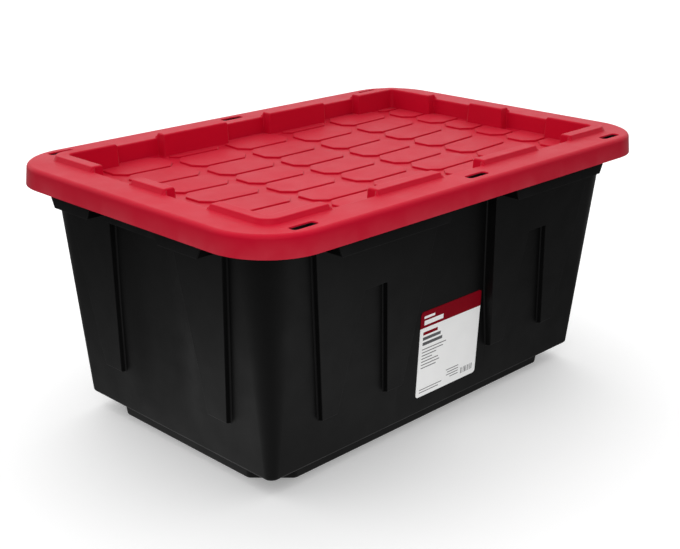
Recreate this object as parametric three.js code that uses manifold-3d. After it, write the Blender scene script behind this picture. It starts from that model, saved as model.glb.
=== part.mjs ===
// Industrial storage tote with a one-piece lift-off lid.
// Millimetres, +Z up, +X along the length. The origin is on the ground under the centre.
// Three moulded or stuck-on pieces: the black tub, the red lid and the paper label.

import * as THREE from 'three';
import { mergeVertices } from 'three/addons/utils/BufferGeometryUtils.js';
import Module from 'manifold-3d';

const wasm = await Module();
wasm.setup();

// ---- driving dimensions -------------------------------------------------

const LENGTH = 777;
const WIDTH = 518;
const RIM_Z = 361; // flat top of the lid's rim
const RIDGE_HEIGHT = 7; // raised blocks round the lid's recess
const SKIRT_Z = 333.6; // lower edge of the lid's skirt

const TUB_WALL = 2.4;
const LID_WALL = 2;
const FIT_GAP = 0.3; // between pieces that rest on each other
const CUT_OVER = 20; // how far a cutting solid runs past what it cuts
const JOIN_IN = 40; // how far a rib's solid runs back into the body

// Straight steps per quarter turn of each kind of rounded corner.
const CORNER_STEPS = 8;
const WALL_STEPS = 6;
const RECESS_STEPS = 5;
const LABEL_STEPS = 4;
const SLOT_STEPS = 3;
const FILLET_STEPS = 3;

// Tub: a drafted box with round corners that stands on a chamfered foot.
const FOOT = { halfX: 300, halfY: 170, chamfer: 42, draft: 2, height: 24 };
const WALL_LOW = { z: 24, halfX: 317, halfY: 189, radius: 12 };
const WALL_HIGH = { z: 333, halfX: 351, halfY: 220.5, radius: 50 };
const FLANGE_TOP = RIM_Z - LID_WALL - FIT_GAP;
const FLANGE_THICK = 2.7;

// Ribs stand proud of the walls and end above the base in a small ledge.
const RIB_PROUD = 7.5;
const RIB_BOTTOM = 87;
// Each edge of a rib is a straight line: its place at RIB_BOTTOM, and its lean per mm of height.
const LONG_RIB = {
  inner: { at: 94, lean: -0.154 },
  outer: { at: 243, lean: 0.151 },
  pocketInner: { at: 124, lean: 0.143 },
  pocketOuter: { at: 216, lean: -0.18 },
  pocketTop: 249,
};
const SHORT_RIB = {
  inner: { at: 90, lean: -0.122 },
  outer: { at: 125.5, lean: 0.127 },
};

// The middle panel of each side leans less than the corners, so it lies deeper towards the top.
const PANEL = { low: 45, high: 180, depth: 7.5, halfLong: 100, halfShort: 92 };

// Turned-down edge of the tub's rim. Its top outer edge is bevelled to clear the lid's fillet.
const LIP = { halfX: 383.5, halfY: 253.5, radius: 78, bottom: 337, draft: 1, bevelHeight: 5, bevelLean: 0.8 };
// Grip tabs that carry the lip further down, as spans along each side, and the end handles' bars.
const TAB_BOTTOM = 317;
const TAB_BEVEL = 6;
const LONG_TAB = { from: 65, to: 268 };
const SHORT_TAB = { from: 65, to: 148 };
const HANDLE_BAR = { half: 67, face: 358, bottom: 309 };

// Slots through both rims, for padlocks or ties.
const SLOT = { length: 38.5, width: 12, radius: 4, x: 307, y: 236 };

// Lid: rim, castellated ridge and a recess that takes the foot of the tote above.
const RIM_FILLET = 6;
const SKIRT_RADIUS = 84;
const SKIRT_DRAFT = 2.2;
const RIDGE_OUT = { halfX: 342, halfY: 214.5, radius: 22 };
const RECESS = { halfX: 323, halfY: 195.5, radius: 8 };
const NOTCH_OUT = { halfX: 337, halfY: 209.5, radius: 17 };
const RECESS_DRAFT = 1.5;
const RIDGE_DRAFT = 1;
const FIELD_Z = 332.2; // floor of the recess between the pads
const PAD_HEIGHT = 2.8;
const PAD = { length: 101, width: 55, chamfer: 14, pitchX: 111, pitchY: 60, columns: 3, rows: 4 };
// Gaps of the ridge, as spans along each side.
const LONG_GAPS = [[-242, -162], [-42, 42], [162, 242]];
const SHORT_GAPS = [[-115, -33], [33, 115]];

const LABEL = { width: 128, low: 50, high: 176.5, centreX: 10.5, thick: 0.4, radius: 5 };

// ---- solids -------------------------------------------------------------

// Closes a stack of equal outlines into one body. flat() gives the plane of the end caps.
function skin(rings, flat) {
  const count = rings[0].length;
  const positions = rings.flat().flatMap((p) => [p.x, p.y, p.z]);
  const faces = [];
  const cap = THREE.ShapeUtils.triangulateShape(rings[0].map(flat), []);
  const lastRing = (rings.length - 1) * count;
  for (const [a, b, c] of cap) {
    faces.push(c, b, a);
    faces.push(lastRing + a, lastRing + b, lastRing + c);
  }
  for (let ring = 0; ring + 1 < rings.length; ring += 1) {
    const base = ring * count;
    for (let i = 0; i < count; i += 1) {
      const next = (i + 1) % count;
      faces.push(base + i, base + next, base + count + next);
      faces.push(base + i, base + count + next, base + count + i);
    }
  }
  const geometry = new THREE.BufferGeometry();
  geometry.setAttribute('position', new THREE.Float32BufferAttribute(positions, 3));
  geometry.setIndex(faces);
  return toSolid(geometry);
}

function signedVolume(vertices, triangles) {
  const corner = (i) => new THREE.Vector3().fromArray(vertices, triangles[i] * 3);
  let total = 0;
  for (let i = 0; i < triangles.length; i += 3) {
    total += corner(i).dot(corner(i + 1).cross(corner(i + 2)));
  }
  return total;
}

function toSolid(geometry) {
  geometry.deleteAttribute('normal');
  geometry.deleteAttribute('uv');
  const merged = mergeVertices(geometry);
  const vertProperties = new Float32Array(merged.attributes.position.array);
  const triVerts = new Uint32Array(merged.index.array);
  if (signedVolume(vertProperties, triVerts) < 0) triVerts.reverse();
  return new wasm.Manifold(new wasm.Mesh({ numProp: 3, vertProperties, triVerts }));
}

function toGeometry(solid) {
  const mesh = solid.getMesh();
  const geometry = new THREE.BufferGeometry();
  geometry.setAttribute('position', new THREE.BufferAttribute(mesh.vertProperties, mesh.numProp));
  geometry.setIndex(new THREE.BufferAttribute(mesh.triVerts, 1));
  geometry.computeVertexNormals();
  return geometry;
}

const join = (solids) => solids.reduce((whole, solid) => whole.add(solid));
const cut = (solid, tools) => tools.reduce((left, tool) => left.subtract(tool), solid);
const onGround = (p) => new THREE.Vector2(p.x, p.y);

function box(x, y, z) {
  const geometry = new THREE.BoxGeometry(x[1] - x[0], y[1] - y[0], z[1] - z[0]);
  geometry.translate((x[0] + x[1]) / 2, (y[0] + y[1]) / 2, (z[0] + z[1]) / 2);
  return toSolid(geometry);
}

function roundedOutline(halfX, halfY, radius, z, steps) {
  const corners = [[1, 1, 0], [-1, 1, 1], [-1, -1, 2], [1, -1, 3]];
  const points = [];
  for (const [sideX, sideY, quarter] of corners) {
    for (let i = 0; i <= steps; i += 1) {
      const angle = (quarter + i / steps) * Math.PI / 2;
      const x = sideX * (halfX - radius) + radius * Math.cos(angle);
      const y = sideY * (halfY - radius) + radius * Math.sin(angle);
      points.push(new THREE.Vector3(x, y, z));
    }
  }
  return points;
}

function chamferedOutline(halfX, halfY, chamfer, z, centreX = 0, centreY = 0) {
  const points = [];
  for (const [sideX, sideY] of [[1, 1], [-1, 1], [-1, -1], [1, -1]]) {
    const alongX = [sideX * (halfX - chamfer), sideY * halfY];
    const alongY = [sideX * halfX, sideY * (halfY - chamfer)];
    const pair = sideX * sideY > 0 ? [alongY, alongX] : [alongX, alongY];
    for (const [x, y] of pair) points.push(new THREE.Vector3(centreX + x, centreY + y, z));
  }
  return points;
}

// ---- tub ----------------------------------------------------------------

// One value of the drafted wall, such as its half length, at a height.
function wallAt(key, z) {
  const part = (z - WALL_LOW.z) / (WALL_HIGH.z - WALL_LOW.z);
  return THREE.MathUtils.lerp(WALL_LOW[key], WALL_HIGH[key], part);
}

function wallOutline(z, inset) {
  const radius = wallAt('radius', z) - inset;
  return roundedOutline(wallAt('halfX', z) - inset, wallAt('halfY', z) - inset, radius, z, WALL_STEPS);
}

// How far out a middle panel's face lies at a height.
function panelAt(key, z) {
  const part = THREE.MathUtils.clamp((z - PANEL.low) / (PANEL.high - PANEL.low), 0, 1);
  return wallAt(key, z) - PANEL.depth * part;
}

const edgeAt = (edge, z) => edge.at + edge.lean * (z - RIB_BOTTOM);

// A plate drawn on one side of the tub: its back is inside, and its face follows the wall.
// across is the side's own direction, and key names the half size that the face follows.
function sidePlate(outline, key, back, face) {
  const alongX = key === 'halfY';
  const place = (across, out, z) => (alongX
    ? new THREE.Vector3(across, out, z)
    : new THREE.Vector3(out, across, z));
  const rings = [back, face].map((depth) => outline.map(([across, z]) => place(across, depth(z), z)));
  return skin(rings, (p) => new THREE.Vector2(alongX ? p.x : p.y, p.z));
}

// The four mirror images of a solid that lies in one quarter of the tub.
function fourWays(solid) {
  const both = join([solid, solid.mirror([1, 0, 0])]);
  return join([both, both.mirror([0, 1, 0])]);
}

function ribPlate(outline, key, inset) {
  const back = (z) => wallAt(key, z) - JOIN_IN;
  const face = (z) => wallAt(key, z) + RIB_PROUD - inset;
  return fourWays(sidePlate(outline, key, back, face));
}

// A wide rib that splits below pocketTop into two tapering legs.
function longRibs(inset, top) {
  const low = RIB_BOTTOM + inset;
  const split = LONG_RIB.pocketTop + inset;
  const outline = [
    [edgeAt(LONG_RIB.inner, low) + inset, low],
    [edgeAt(LONG_RIB.pocketInner, low) - inset, low],
    [edgeAt(LONG_RIB.pocketInner, split) - inset, split],
    [edgeAt(LONG_RIB.pocketOuter, split) + inset, split],
    [edgeAt(LONG_RIB.pocketOuter, low) + inset, low],
    [edgeAt(LONG_RIB.outer, low) - inset, low],
    [edgeAt(LONG_RIB.outer, top) - inset, top],
    [edgeAt(LONG_RIB.inner, top) + inset, top],
  ];
  return ribPlate(outline, 'halfY', inset);
}

function shortRibs(inset, top) {
  const low = RIB_BOTTOM + inset;
  const outline = [
    [edgeAt(SHORT_RIB.inner, low) + inset, low],
    [edgeAt(SHORT_RIB.outer, low) - inset, low],
    [edgeAt(SHORT_RIB.outer, top) - inset, top],
    [edgeAt(SHORT_RIB.inner, top) + inset, top],
  ];
  return ribPlate(outline, 'halfX', inset);
}

// What the middle panels of a pair of sides take away from the drafted wall.
function panelCut(key, half, inset) {
  const wide = half + inset;
  const stretch = (low, high) => sidePlate(
    [[wide, low], [wide, high], [-wide, high], [-wide, low]],
    key,
    (z) => panelAt(key, z) - inset,
    (z) => wallAt(key, z) + CUT_OVER,
  );
  const side = join([stretch(PANEL.low, PANEL.high), stretch(PANEL.high, FLANGE_TOP + CUT_OVER)]);
  return join([side, side.mirror(key === 'halfY' ? [0, 1, 0] : [1, 0, 0])]);
}

// The tub's form without its rim: the outer skin, or the inner one when inset is the wall.
function tubForm(inset, top) {
  const walls = skin([wallOutline(WALL_LOW.z + inset, inset), wallOutline(top, inset)], onGround);
  const panelled = cut(walls, [
    panelCut('halfY', PANEL.halfLong, inset),
    panelCut('halfX', PANEL.halfShort, inset),
  ]);
  const foot = skin([
    chamferedOutline(FOOT.halfX - inset, FOOT.halfY - inset, FOOT.chamfer, inset),
    chamferedOutline(FOOT.halfX + FOOT.draft - inset, FOOT.halfY + FOOT.draft - inset,
      FOOT.chamfer, FOOT.height + JOIN_IN / 2),
  ], onGround);
  return join([panelled, foot, longRibs(inset, top), shortRibs(inset, top)]);
}

// Outlines of the rim's outer edge, from its lower edge up, drawn in by inset.
function lipOutlines(bottom, top, inset) {
  const knee = FLANGE_TOP - LIP.bevelHeight;
  const ring = (z, back) => roundedOutline(LIP.halfX - back - inset, LIP.halfY - back - inset,
    LIP.radius - back, z, CORNER_STEPS);
  return [ring(bottom, 0), ring(knee, LIP.draft), ring(top, LIP.draft + LIP.bevelLean * (top - knee))];
}

// Each grip tab is a front plate and two end webs that run back to the wall under the flange.
function tabs() {
  const top = FLANGE_TOP - FLANGE_THICK + FIT_GAP;
  const plate = (tab, key) => {
    const outline = [
      [tab.from + TAB_BEVEL, TAB_BOTTOM],
      [tab.to - TAB_BEVEL, TAB_BOTTOM],
      [tab.to, TAB_BOTTOM + 2 * TAB_BEVEL],
      [tab.to, LIP.bottom + TAB_BEVEL],
      [tab.from, LIP.bottom + TAB_BEVEL],
      [tab.from, TAB_BOTTOM + 2 * TAB_BEVEL],
    ];
    return sidePlate(outline, key, () => LIP[key] - LIP.draft - TUB_WALL, () => LIP[key] - LIP.draft);
  };
  const ends = (tab) => [
    [tab.from + TAB_BEVEL, tab.from + TAB_BEVEL + TUB_WALL],
    [tab.to - TAB_BEVEL - TUB_WALL, tab.to - TAB_BEVEL],
  ];
  const height = [TAB_BOTTOM, top];
  const longDepth = [WALL_HIGH.halfY, LIP.halfY - LIP.draft - TUB_WALL + FIT_GAP];
  const shortDepth = [WALL_HIGH.halfX, LIP.halfX - LIP.draft - TUB_WALL + FIT_GAP];
  const parts = [
    plate(LONG_TAB, 'halfY'),
    plate(SHORT_TAB, 'halfX'),
    ...ends(LONG_TAB).map((span) => box(span, longDepth, height)),
    ...ends(SHORT_TAB).map((span) => box(shortDepth, span, height)),
  ];
  return fourWays(join(parts));
}

function handleBars() {
  const { half, face, bottom } = HANDLE_BAR;
  const bar = box([face - TUB_WALL, face], [-half, half], [bottom, FLANGE_TOP - FLANGE_THICK / 2]);
  return join([bar, bar.mirror([1, 0, 0])]);
}

// Six rim slots: one in the middle of each long side and one near each corner.
function rimSlots(low, high) {
  const slots = [-SLOT.x, 0, SLOT.x].flatMap((x) => [-SLOT.y, SLOT.y].map((y) => {
    const ring = (z) => roundedOutline(SLOT.length / 2, SLOT.width / 2, SLOT.radius, z, SLOT_STEPS)
      .map((p) => p.add(new THREE.Vector3(x, y, 0)));
    return skin([ring(low), ring(high)], onGround);
  }));
  return join(slots);
}

function tubSolid() {
  const under = FLANGE_TOP - FLANGE_THICK;
  const rim = cut(skin(lipOutlines(LIP.bottom, FLANGE_TOP, 0), onGround), [
    skin(lipOutlines(LIP.bottom - CUT_OVER, under, TUB_WALL), onGround),
  ]);
  const outside = join([tubForm(0, FLANGE_TOP), rim, tabs(), handleBars()]);
  return cut(outside, [
    tubForm(TUB_WALL, FLANGE_TOP + CUT_OVER),
    rimSlots(under - CUT_OVER / 4, FLANGE_TOP + CUT_OVER),
  ]);
}

// ---- lid ----------------------------------------------------------------

// Outlines of the lid's outside, from the skirt's edge up to the flat rim, drawn in by inset.
function lidOutlines(inset) {
  const bottom = inset > 0 ? SKIRT_Z - CUT_OVER : SKIRT_Z;
  const top = RIM_Z - inset;
  const fillet = RIM_FILLET - inset;
  const ring = (z, back) => roundedOutline(LENGTH / 2 - back, WIDTH / 2 - back, SKIRT_RADIUS - back,
    z, CORNER_STEPS);
  const shoulder = [];
  for (let step = 0; step <= FILLET_STEPS; step += 1) {
    const angle = (step / FILLET_STEPS) * Math.PI / 2;
    const back = SKIRT_DRAFT + inset + fillet * (1 - Math.cos(angle));
    shoulder.push(ring(top - fillet + fillet * Math.sin(angle), back));
  }
  return [ring(bottom, inset), ...shoulder];
}

// Boxes over the gaps of the ridge, on all four sides.
function gapBoxes(low, high, grow) {
  const far = LENGTH;
  const near = RECESS.halfY - RIDGE_OUT.radius;
  const nearX = RECESS.halfX - RIDGE_OUT.radius;
  const long = LONG_GAPS.flatMap(([from, to]) => [[-far, -near], [near, far]]
    .map((span) => box([from - grow, to + grow], span, [low, high])));
  const short = SHORT_GAPS.flatMap(([from, to]) => [[-far, -nearX], [nearX, far]]
    .map((span) => box(span, [from - grow, to + grow], [low, high])));
  return join([...long, ...short]);
}

// A rounded block drawn in at its low and high ends by lowBack and highBack.
function draftedPrism(size, low, high, grow, lowBack = RECESS_DRAFT, highBack = 0) {
  const ring = (z, back) => roundedOutline(size.halfX + grow - back, size.halfY + grow - back,
    size.radius + grow - back, z, RECESS_STEPS);
  return skin([ring(low, lowBack), ring(high, highBack)], onGround);
}

// The recess and the notches of its wall, grown sideways and downwards by the lid's wall.
function recess(grow, high = RIM_Z + CUT_OVER) {
  const low = FIELD_Z - grow;
  const notches = draftedPrism(NOTCH_OUT, low, high, grow).intersect(gapBoxes(low, high, grow));
  return join([draftedPrism(RECESS, low, high, grow), notches]);
}

// The lid's top form without its recess: the outer skin, or the inner one when inset is the wall.
function lidForm(inset) {
  const rim = skin(lidOutlines(inset), onGround);
  const top = RIM_Z + RIDGE_HEIGHT - inset;
  const low = RIM_Z - inset - CUT_OVER / 2;
  const ridge = draftedPrism(RIDGE_OUT, low, top, -inset, 0, RIDGE_DRAFT);
  const gaps = gapBoxes(RIM_Z - inset, top + CUT_OVER, inset);
  return join([rim, ridge.subtract(gaps)]);
}

// Eight-sided pads in staggered columns, trimmed where the recess wall cuts them.
function pads() {
  const low = FIELD_Z - LID_WALL / 2;
  const high = FIELD_Z + PAD_HEIGHT;
  const all = [];
  for (let column = -PAD.columns; column <= PAD.columns; column += 1) {
    const stagger = column % 2 === 0 ? 0 : PAD.pitchY / 2;
    for (let row = -PAD.rows; row <= PAD.rows; row += 1) {
      const x = column * PAD.pitchX;
      const y = row * PAD.pitchY + stagger;
      if (Math.abs(y) > NOTCH_OUT.halfY + PAD.width / 2) continue;
      const ring = (z, back) => chamferedOutline(PAD.length / 2 - back, PAD.width / 2 - back,
        PAD.chamfer, z, x, y);
      all.push(skin([ring(low, 0), ring(high, PAD_HEIGHT / 3)], onGround));
    }
  }
  return join(all).intersect(recess(LID_WALL / 2));
}

function lidSolid() {
  const hollow = lidForm(LID_WALL).subtract(recess(LID_WALL));
  const outside = join([lidForm(0), recess(LID_WALL, RIM_Z - LID_WALL / 2)]);
  const shell = cut(outside, [recess(0), hollow]);
  const floored = join([shell, pads()]);
  return cut(floored, [rimSlots(RIM_Z - CUT_OVER / 2, RIM_Z + CUT_OVER)]);
}

// ---- label --------------------------------------------------------------

function labelSolid() {
  const middle = (LABEL.low + LABEL.high) / 2;
  const outline = roundedOutline(LABEL.width / 2, (LABEL.high - LABEL.low) / 2, LABEL.radius, 0, LABEL_STEPS)
    .map((p) => [p.x + LABEL.centreX, p.y + middle]);
  const back = (z) => panelAt('halfY', z) + FIT_GAP;
  return sidePlate(outline, 'halfY', back, (z) => back(z) + LABEL.thick).mirror([0, 1, 0]);
}

// ---- assembly -----------------------------------------------------------

const BLACK = 0x17181a;
const RED = 0xb5121b;
const WHITE = 0xf1f0ee;

const plastic = (color) => new THREE.MeshStandardMaterial({ color, roughness: 0.45, metalness: 0 });
const paper = new THREE.MeshStandardMaterial({ color: WHITE, roughness: 0.6, metalness: 0 });

function named(name, solid, material) {
  const mesh = new THREE.Mesh(toGeometry(solid), material);
  mesh.name = name;
  return mesh;
}

const tote = new THREE.Group();
tote.add(named('tub', tubSolid(), plastic(BLACK)));
tote.add(named('lid', lidSolid(), plastic(RED)));
tote.add(named('label', labelSolid(), paper));

export default tote;
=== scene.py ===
"""Looks of the lidded storage tote: moulded tub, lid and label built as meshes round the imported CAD.

Shapes are worked out in millimetres and turned into metres when a mesh is made.
X runs along the length, Y along the width, Z up. The label is on the -Y side.
"""

import math

import bmesh
import bpy
from mathutils import Matrix, Vector
from mathutils.geometry import delaunay_2d_cdt


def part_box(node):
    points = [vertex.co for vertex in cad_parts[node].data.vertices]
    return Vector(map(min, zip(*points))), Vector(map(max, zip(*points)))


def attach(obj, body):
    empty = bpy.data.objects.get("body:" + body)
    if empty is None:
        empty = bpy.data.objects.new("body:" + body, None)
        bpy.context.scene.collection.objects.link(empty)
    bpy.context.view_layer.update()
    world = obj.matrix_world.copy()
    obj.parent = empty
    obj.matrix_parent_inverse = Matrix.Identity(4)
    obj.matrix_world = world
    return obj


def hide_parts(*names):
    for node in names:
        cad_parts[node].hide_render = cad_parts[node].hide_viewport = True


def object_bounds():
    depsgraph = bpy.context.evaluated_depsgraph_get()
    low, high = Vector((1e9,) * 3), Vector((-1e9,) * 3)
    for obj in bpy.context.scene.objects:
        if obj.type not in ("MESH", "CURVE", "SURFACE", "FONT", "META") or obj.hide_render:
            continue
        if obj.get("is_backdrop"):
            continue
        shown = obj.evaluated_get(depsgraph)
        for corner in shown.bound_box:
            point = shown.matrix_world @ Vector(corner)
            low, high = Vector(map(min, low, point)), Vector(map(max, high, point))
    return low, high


MM = 0.001
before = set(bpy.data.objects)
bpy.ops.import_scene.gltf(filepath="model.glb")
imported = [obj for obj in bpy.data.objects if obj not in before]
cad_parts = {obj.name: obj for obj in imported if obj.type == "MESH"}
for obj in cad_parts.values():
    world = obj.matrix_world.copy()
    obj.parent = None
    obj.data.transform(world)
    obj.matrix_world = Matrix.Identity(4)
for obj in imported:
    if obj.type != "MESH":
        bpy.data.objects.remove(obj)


def node_box(node):
    """Lowest and highest corner of a CAD node, in millimetres."""
    low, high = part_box(node)
    return low / MM, high / MM


def save_size(key, sizes):
    low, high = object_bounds()
    sizes[key] = [list(low), list(high)]


SIZES = {}
save_size("cad", SIZES)

TUB_HIGH = node_box("tub")[1]
LID_LOW, LID_HIGH = node_box("lid")
LABEL_LOW, LABEL_HIGH = node_box("label")

# ---- measures, in millimetres
# The shapes repeat those of the CAD. Fillets, and values marked as for looks, are this script's own.

TUB_WALL = 2.4
LID_WALL = 2.0

# Lid. Outlines are (half length, half width, corner radius).
RIDGE_HEIGHT = 7.0
RIM_Z = LID_HIGH.z - RIDGE_HEIGHT
SKIRT_Z = 333.6
SKIRT_DRAFT = 2.2
RIM_FILLET = 6.0
OUTER = (LID_HIGH.x, LID_HIGH.y, 84.0)
RIDGE = (342.0, 214.5, 22.0)
NOTCH_IN = 5.0  # from the ridge's outer wall in to the wall of its gaps
RECESS_IN = 19.0  # and in to the wall of the recess at its blocks
NOTCH = (RIDGE[0] - NOTCH_IN, RIDGE[1] - NOTCH_IN)
RECESS = (RIDGE[0] - RECESS_IN, RIDGE[1] - RECESS_IN)
CORNER_TIGHTENS = 0.8  # how much smaller the corner radius gets per millimetre inwards
FLOOR_RISE = 2.5  # for looks: the recess floor at its walls, above the flat floor of the CAD
FIELD_Z = LID_LOW.z + LID_WALL + FLOOR_RISE
LONG_GAPS = (42.0, 162.0, 242.0)  # edges of the ridge's gaps, on each side of the middle
SHORT_GAPS = (33.0, 115.0)
PAD_LENGTH, PAD_WIDTH, PAD_HEIGHT, PAD_CHAMFER = 101.0, 55.0, 2.8, 14.0
PAD_PITCH = (111.0, 60.0)
PAD_COLUMNS, PAD_ROWS = range(-3, 4), range(-4, 5)
PAD_CORNER = 3.0  # radius of the pads' eight corners
PAD_EDGE = 0.9  # fillet round the top of a pad
PAD_FLARE, PAD_DRAW = 0.4, 0.3  # how far its hidden foot stands out of its outline, and its side in
PAD_REACH = 0.6  # how far a cut pad reaches into the recess wall
PAD_SCRAP = 6.0  # a cut pad that is narrower than this is left out
SLOT_LENGTH, SLOT_WIDTH, SLOT_RADIUS, SLOT_FILLET = 38.5, 12.0, 4.0, 1.0
SLOT_PLACES = [(x, y) for x in (-307.0, 0.0, 307.0) for y in (-236.0, 236.0)]
SAG = 6.2  # for looks: the thin floor of the recess hangs a little in the middle
SAG_HALF = (310.0, 215.0)

# Tub. Walls are given at two heights and are straight between them.
WALL_LOW = {"z": 24.0, "x": 317.0, "y": 189.0, "radius": 12.0}
WALL_HIGH = {"z": 333.0, "x": 351.0, "y": 220.5, "radius": 50.0}
FLANGE_TOP = TUB_HIGH.z
FLANGE_THICK = 2.7
FOOT = {"x": 300.0, "y": 170.0, "chamfer": 42.0, "draft": 2.0, "corner": 10.0, "edge": 3.0}
RIB_PROUD = 7.5
RIB_BOTTOM = 87.0
POCKET_TOP = 249.0
# Edges of ribs: place at RIB_BOTTOM and lean per millimetre of height.
LONG_INNER, LONG_OUTER = (94.0, -0.154), (243.0, 0.151)
POCKET_INNER, POCKET_OUTER = (124.0, 0.143), (216.0, -0.18)
SHORT_INNER, SHORT_OUTER = (90.0, -0.122), (125.5, 0.127)
PANEL_LOW, PANEL_HIGH, PANEL_DEPTH = 45.0, 180.0, 7.5
# For looks: where a side's sunk panel is still at its full depth, and where it has come up to the wall.
PANEL_FADE = {"y": (82.0, 112.0), "x": (30.0, 78.0)}
LIP = (TUB_HIGH.x, TUB_HIGH.y, 78.0)
LIP_BOTTOM, LIP_BEVEL = 337.0, 5.0
TAB_BOTTOM, TAB_BEVEL = 317.0, 6.0
LONG_TAB, SHORT_TAB = (65.0, 268.0), (65.0, 148.0)
BAR_HALF, BAR_FACE, BAR_BOTTOM = 67.0, 358.0, 309.0


# ---- mesh building

MERGE_DISTANCE = 1e-6  # in metres
FILL_TOLERANCE = 1e-5
SHARP_ANGLE = math.radians(40.0)
ARC_STEPS = 16


class Shell:
    """A closed mesh put together from rings, strips and flat fills."""

    def __init__(self):
        self.points = []
        self.faces = []
        self.marks = []

    def add(self, points):
        first = len(self.points)
        self.points.extend(tuple(p) for p in points)
        return list(range(first, len(self.points)))

    def face(self, corners, mark=0):
        self.faces.append(tuple(corners))
        self.marks.append(mark)

    def strip(self, one, two):
        """Quads between two closed rows of equally many points."""
        for i in range(len(one)):
            j = (i + 1) % len(one)
            self.face((one[i], one[j], two[j], two[i]))

    def rows(self, rows):
        """Adds closed rows of points and the strips between them. Gives back their indices."""
        indices = [self.add(row) for row in rows]
        for one, two in zip(indices, indices[1:]):
            self.strip(one, two)
        return indices

    def flat(self, outer, holes=(), inside=()):
        """Fills a level outline, leaving its holes open. inside are extra points for the fill."""
        loops = [outer] + list(holes)
        used = [i for loop in loops for i in loop] + list(inside)
        outlines = [[self.points[i][:2] for i in loop] for loop in loops]
        _, triangles, origins = fill(outlines, [self.points[i][:2] for i in inside])
        for triangle, middle in triangles:
            if sum(inside_outline(middle, outline) for outline in outlines) % 2:
                self.face([used[origins[i][0]] for i in triangle])

    def capped(self, rows):
        """Adds closed rows and fills the first and the last of them."""
        rings = self.rows(rows)
        for ring in (rings[0], rings[-1]):
            self.flat(ring)

    def make(self, name):
        """The Blender object, in metres, with faces pointing outwards."""
        mesh = bpy.data.meshes.new(name)
        mesh.from_pydata([Vector(p) * MM for p in self.points], [], self.faces)
        mesh.polygons.foreach_set("material_index", self.marks)
        work = bmesh.new()
        work.from_mesh(mesh)
        bmesh.ops.remove_doubles(work, verts=work.verts, dist=MERGE_DISTANCE)
        bmesh.ops.dissolve_degenerate(work, edges=work.edges, dist=MERGE_DISTANCE)
        bmesh.ops.recalc_face_normals(work, faces=work.faces)
        work.to_mesh(mesh)
        work.free()
        made = bpy.data.objects.new(name, mesh)
        bpy.context.scene.collection.objects.link(made)
        return made


def fill(loops, inside=(), cuts=()):
    """Fills closed outlines. Gives corners, (triangle, its middle) pairs and each corner's origins."""
    points = [Vector(p) for loop in loops for p in loop] + [Vector(p) for p in inside]
    edges, start = list(cuts), 0
    for loop in loops:
        edges += [(start + i, start + (i + 1) % len(loop)) for i in range(len(loop))]
        start += len(loop)
    made = delaunay_2d_cdt(points, edges, [], 0, FILL_TOLERANCE)
    corners, triangles, origins = made[0], made[2], made[3]
    middles = [sum((corners[i] for i in triangle), Vector((0.0, 0.0))) / 3.0 for triangle in triangles]
    return corners, list(zip(triangles, middles)), origins


def inside_outline(point, outline):
    """1 for a point inside a closed outline and 0 for one outside it, by counting crossings."""
    x, y = point
    crossings = 0
    for (ax, ay), (bx, by) in zip(outline, outline[1:] + outline[:1]):
        if (ay > y) != (by > y) and x < ax + (y - ay) * (bx - ax) / (by - ay):
            crossings += 1
    return crossings % 2


def grown(outline, distance):
    """A counter-clockwise outline moved outwards by a distance, with mitred corners."""
    moved = []
    count = len(outline)
    for i in range(count):
        before = Vector(outline[i]) - Vector(outline[i - 1])
        after = Vector(outline[(i + 1) % count]) - Vector(outline[i])
        one = Vector((before.y, -before.x)).normalized()
        two = Vector((after.y, -after.x)).normalized()
        step = (one + two) * (distance / (1.0 + one.dot(two)))
        moved.append((outline[i][0] + step.x, outline[i][1] + step.y))
    return moved


def softened(corners, radius, steps):
    """A counter-clockwise outline whose convex corners are rounded."""
    points = []
    count = len(corners)
    for i in range(count):
        corner = Vector(corners[i])
        back = (Vector(corners[i - 1]) - corner).normalized()
        ahead = (Vector(corners[(i + 1) % count]) - corner).normalized()
        half = math.acos(max(-1.0, min(1.0, back.dot(ahead)))) / 2.0
        reach = radius / math.tan(half)
        centre = corner + (back + ahead).normalized() * (radius / math.sin(half))
        start, end = corner + back * reach - centre, corner + ahead * reach - centre
        turn = start.angle_signed(end)
        for k in range(steps + 1):
            arm = start.copy()
            arm.rotate(Matrix.Rotation(-turn * k / steps, 2))
            points.append(tuple(centre + arm))
    return points


def quarter(steps):
    """The angles of a quarter turn, from 0."""
    return [math.pi / 2 * k / steps for k in range(steps + 1)]


def octagon(half_x, half_y, cut):
    """Counter-clockwise corners of a rectangle whose own corners are cut off at 45 degrees."""
    x, y = half_x - cut, half_y - cut
    return [
        (half_x, -y), (half_x, y), (x, half_y), (-x, half_y),
        (-half_x, y), (-half_x, -y), (-x, -half_y), (x, -half_y),
    ]


def rounded_rect(half_x, half_y, radius, steps):
    """Counter-clockwise outline of a rounded rectangle round the origin."""
    points = []
    for corner, (sx, sy) in enumerate(((1, 1), (-1, 1), (-1, -1), (1, -1))):
        for k in range(steps + 1):
            angle = (corner + k / steps) * math.pi / 2
            x = sx * (half_x - radius) + radius * math.cos(angle)
            y = sy * (half_y - radius) + radius * math.sin(angle)
            points.append((x, y))
    return points


def on_side(side, along, half_x, half_y, z):
    """A point on one of the four sides, which run counter-clockwise from the front."""
    return ((along, -half_y, z), (half_x, along, z), (-along, half_y, z), (-half_x, -along, z))[side]


def corner_arc(side, reach_x, reach_y, radius, steps):
    """Places (x, y) round the corner after a side, without the ends of the arc."""
    centre = on_side(side, (reach_x, reach_y)[side % 2], reach_x, reach_y, 0.0)
    places = []
    for k in range(1, steps):
        angle = (side - 1 + k / steps) * math.pi / 2
        places.append((centre[0] + radius * math.cos(angle), centre[1] + radius * math.sin(angle)))
    return places


def level_at(z):
    """Heights of a level row."""
    return lambda along, key: z


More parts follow.
